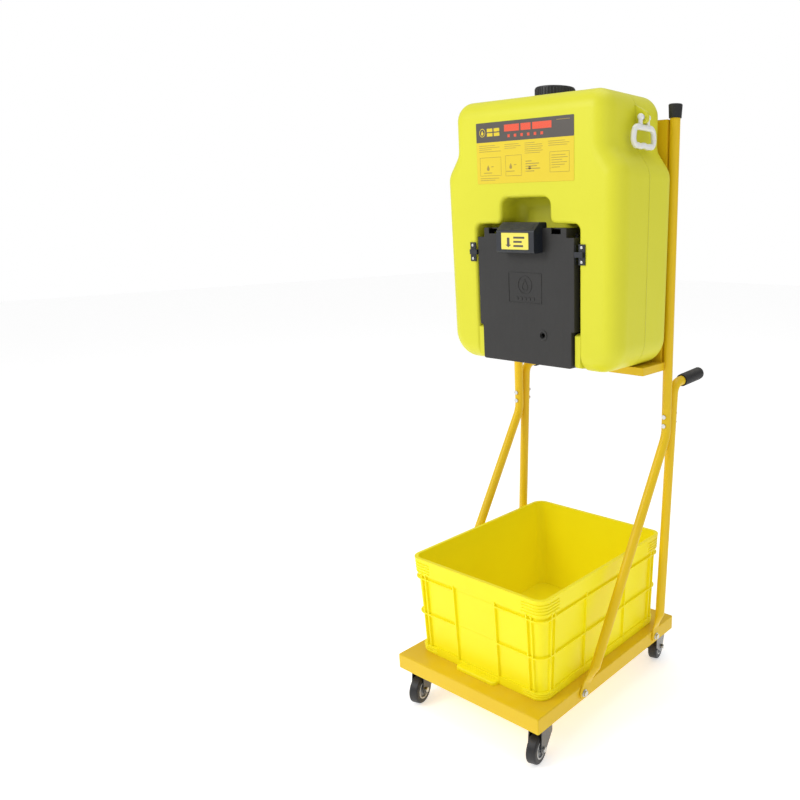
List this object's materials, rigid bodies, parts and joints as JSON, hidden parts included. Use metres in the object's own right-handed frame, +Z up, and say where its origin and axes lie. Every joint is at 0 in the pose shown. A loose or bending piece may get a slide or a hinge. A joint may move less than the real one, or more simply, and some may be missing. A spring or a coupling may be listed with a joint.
{
  "type": "portable eyewash station",
  "caption": "Mobile gravity-fed emergency eyewash: a shouldered water tank with a drop-down nozzle tray, on a two-post trolley with a catch bin and swivel casters.",
  "frame": {"origin": "on the floor, under the middle of the bounding box", "axes": "+Z up, -Y the front where the tray opens and the user stands, +X to the right seen from behind the front"},
  "size_m": [0.5396, 0.7022, 1.558],
  "materials": {
    "bin_plastic": "bright yellow moulded polypropylene",
    "frame_paint": "golden yellow powder coat",
    "handle_plastic": "blue-black plastic",
    "hub": "grey plastic core",
    "label": "printed amber film",
    "ring_plastic": "white plastic",
    "rubber": "black rubber",
    "spray_plastic": "yellow plastic",
    "tank_plastic": "lemon-green moulded polyethylene",
    "tray_plastic": "charcoal textured plastic",
    "tyre": "black tread",
    "valve_plastic": "grey plastic",
    "yoke": "black coated pressed steel",
    "zinc": "zinc plated"
  },
  "bodies": {
    "trolley": {"platform_deck": "frame_paint", "deck_channels": "frame_paint", "caster_plates": "yoke", "caster_plate_bolts": "zinc", "upright_left": "frame_paint", "upright_right": "frame_paint", "rear_post_left": "frame_paint", "rear_post_right": "frame_paint", "upright_cap_left": "rubber", "upright_cap_right": "rubber", "handle_grip_left": "rubber", "handle_grip_right": "rubber", "frame_bolts": "zinc", "back_panel": "frame_paint", "tank_shelf": "frame_paint"},
    "tank": {"tank_shell": "tank_plastic", "tank_neck": "tank_plastic", "instruction_label": "label", "latch_catches": "handle_plastic", "latch_screws": "zinc", "outlet_valve": "valve_plastic", "outlet_nut": "valve_plastic"},
    "tray": {"tray_cover": "tray_plastic", "tray_basin": "tray_plastic", "pull_handle": "handle_plastic", "pull_plate": "label", "nozzle_cone_left": "tray_plastic", "nozzle_cone_right": "tray_plastic", "spray_head_left": "spray_plastic", "spray_head_right": "spray_plastic", "feed_tube_left": "valve_plastic", "feed_tube_right": "valve_plastic", "valve_spool": "valve_plastic", "tray_screws": "zinc", "latch_strikes": "handle_plastic", "drain_bush": "valve_plastic", "hinge_pins": "zinc"},
    "cap_seal": {"cap_gasket": "rubber"},
    "fill_cap": {"fill_cap": "tray_plastic"},
    "ring_left": {"carry_ring_left": "ring_plastic"},
    "ring_right": {"carry_ring_right": "ring_plastic"},
    "bin": {"waste_bin": "bin_plastic"},
    "caster_front_left": {"caster_yoke_front_left": "yoke", "caster_axle_front_left": "zinc"},
    "wheel_front_left": {"caster_tyre_front_left": "tyre", "caster_hub_front_left": "hub"},
    "caster_front_right": {"caster_yoke_front_right": "yoke", "caster_axle_front_right": "zinc"},
    "wheel_front_right": {"caster_tyre_front_right": "tyre", "caster_hub_front_right": "hub"},
    "caster_rear_left": {"caster_yoke_rear_left": "yoke", "caster_axle_rear_left": "zinc"},
    "wheel_rear_left": {"caster_tyre_rear_left": "tyre", "caster_hub_rear_left": "hub"},
    "brake_rear_left": {"brake_pedal_rear_left": "zinc"},
    "caster_rear_right": {"caster_yoke_rear_right": "yoke", "caster_axle_rear_right": "zinc"},
    "wheel_rear_right": {"caster_tyre_rear_right": "tyre", "caster_hub_rear_right": "hub"},
    "brake_rear_right": {"brake_pedal_rear_right": "zinc"}
  },
  "joints": [
    {"name": "tank_lift_off", "type": "slide", "parent": "trolley", "child": "tank", "axis": [0, 0, 1], "range_m": [0, 0.65]},
    {"name": "tray_hinge", "type": "hinge", "parent": "tank", "child": "tray", "pos_m": [0, -0.05546, 0.96], "axis": [1, 0, 0], "range_deg": [0, 90]},
    {"name": "cap_lift", "type": "slide", "parent": "tank", "child": "cap_seal", "axis": [0, 0, 1], "range_m": [0, 0.0121]},
    {"name": "cap_turn", "type": "hinge", "parent": "cap_seal", "child": "fill_cap", "pos_m": [0, 0.04454, 1.541], "axis": [0, 0, 1], "range_deg": [0, 720]},
    {"name": "ring_left_hinge", "type": "hinge", "parent": "tank", "child": "ring_left", "pos_m": [-0.252, 0.04454, 1.468], "axis": [0, 1, 0], "range_deg": [0, 120]},
    {"name": "ring_right_hinge", "type": "hinge", "parent": "tank", "child": "ring_right", "pos_m": [0.252, 0.04454, 1.468], "axis": [0, -1, 0], "range_deg": [0, 120]},
    {"name": "bin_lift_out", "type": "slide", "parent": "trolley", "child": "bin", "axis": [0, 0, 1], "range_m": [0, 0.4]},
    {"name": "swivel_front_left", "type": "hinge", "parent": "trolley", "child": "caster_front_left", "pos_m": [-0.204, -0.28546, 0.092], "axis": [0, 0, 1], "continuous": true},
    {"name": "wheel_spin_front_left", "type": "hinge", "parent": "caster_front_left", "child": "wheel_front_left", "pos_m": [-0.19581, -0.31224, 0.0375], "axis": [0.9563, 0.2924, 0], "continuous": true},
    {"name": "swivel_front_right", "type": "hinge", "parent": "trolley", "child": "caster_front_right", "pos_m": [0.204, -0.28546, 0.092], "axis": [0, 0, 1], "continuous": true},
    {"name": "wheel_spin_front_right", "type": "hinge", "parent": "caster_front_right", "child": "wheel_front_right", "pos_m": [0.21077, -0.31263, 0.0375], "axis": [0.9703, 0.2419, 0], "continuous": true},
    {"name": "swivel_rear_left", "type": "hinge", "parent": "trolley", "child": "caster_rear_left", "pos_m": [-0.204, 0.22454, 0.092], "axis": [0, 0, 1], "continuous": true},
    {"name": "wheel_spin_rear_left", "type": "hinge", "parent": "caster_rear_left", "child": "wheel_rear_left", "pos_m": [-0.20934, 0.25202, 0.0375], "axis": [-0.9816, -0.1908, 0], "continuous": true},
    {"name": "brake_press_rear_left", "type": "hinge", "parent": "caster_rear_left", "child": "brake_rear_left", "pos_m": [-0.21354, 0.27362, 0.076], "axis": [-0.9816, -0.1908, 0], "range_deg": [0, 14]},
    {"name": "swivel_rear_right", "type": "hinge", "parent": "trolley", "child": "caster_rear_right", "pos_m": [0.204, 0.22454, 0.092], "axis": [0, 0, 1], "continuous": true},
    {"name": "wheel_spin_rear_right", "type": "hinge", "parent": "caster_rear_right", "child": "wheel_rear_right", "pos_m": [0.19723, 0.25171, 0.0375], "axis": [-0.9703, -0.2419, 0], "continuous": true},
    {"name": "brake_press_rear_right", "type": "hinge", "parent": "caster_rear_right", "child": "brake_rear_right", "pos_m": [0.1919, 0.27305, 0.076], "axis": [-0.9703, -0.2419, 0], "range_deg": [0, 14]}
  ],
  "couplings": [
    {"joint": "cap_lift", "follows": "cap_turn", "m_per_rad": 0.00095493}
  ]
}
